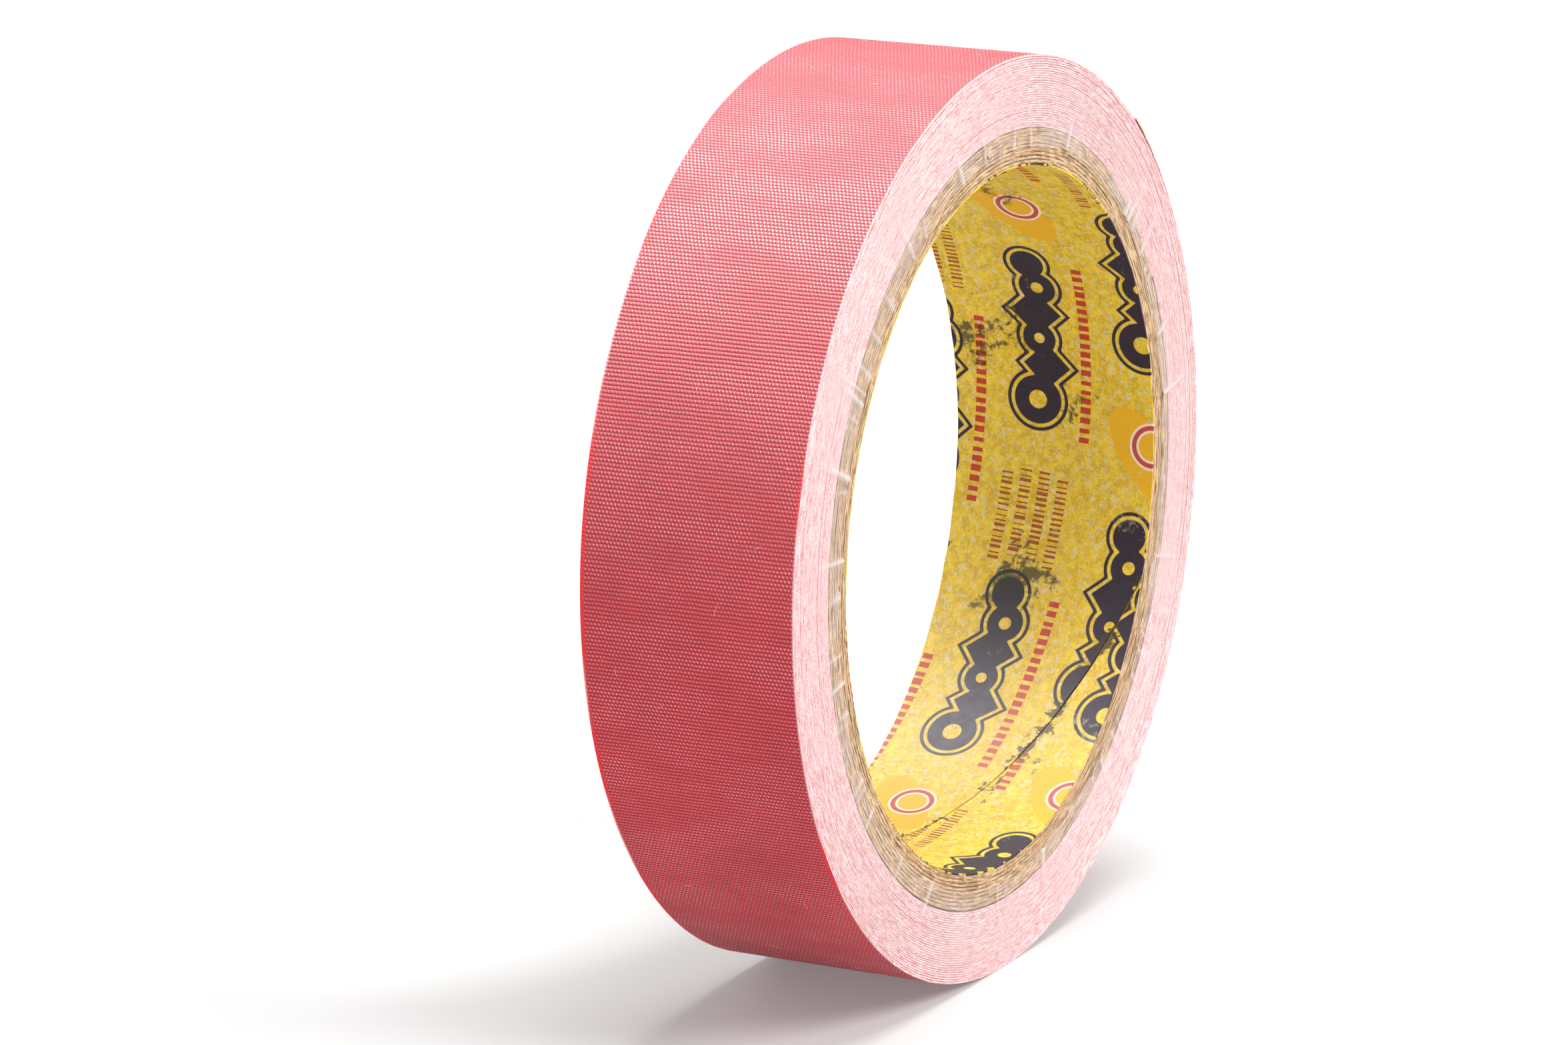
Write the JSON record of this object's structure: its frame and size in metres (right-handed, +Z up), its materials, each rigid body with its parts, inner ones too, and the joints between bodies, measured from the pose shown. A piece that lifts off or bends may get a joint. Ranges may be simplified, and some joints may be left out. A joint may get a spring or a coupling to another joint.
{
  "type": "duct tape roll",
  "caption": "Roll of woven cloth adhesive tape wound on a spirally wound kraft paper core with a printed liner; the free end of the tape peels up.",
  "frame": {"origin": "centre of the roll, on its axis and in the middle of its width", "axes": "+Y along the roll's axis, +Z up as it stands on its tread"},
  "size_m": [0.0995, 0.0248, 0.0993],
  "materials": {
    "rose_cloth": "woven cloth, satin",
    "kraft_board": "raw kraft paperboard",
    "printed_liner": "printed paper",
    "clear_film": "clear film, glossy"
  },
  "bodies": {
    "roll": {"core_liner": "printed_liner", "core_ply_1": "kraft_board", "core_ply_2": "kraft_board", "core_ply_3": "kraft_board", "core_ply_4": "kraft_board", "core_ply_5": "kraft_board", "core_ply_6": "kraft_board", "core_ply_7": "kraft_board", "core_ply_8": "kraft_board", "core_ply_9": "kraft_board", "tape_winding": "rose_cloth", "film_collar_front": "clear_film", "film_collar_back": "clear_film"},
    "tape_end": {"tape_free_end": "rose_cloth"}
  },
  "joints": [
    {"name": "free_end_peel", "type": "hinge", "parent": "roll", "child": "tape_end", "pos_m": [0.04415, 0, 0.0236], "axis": [0, 1, 0], "range_deg": [0, 150]}
  ]
}
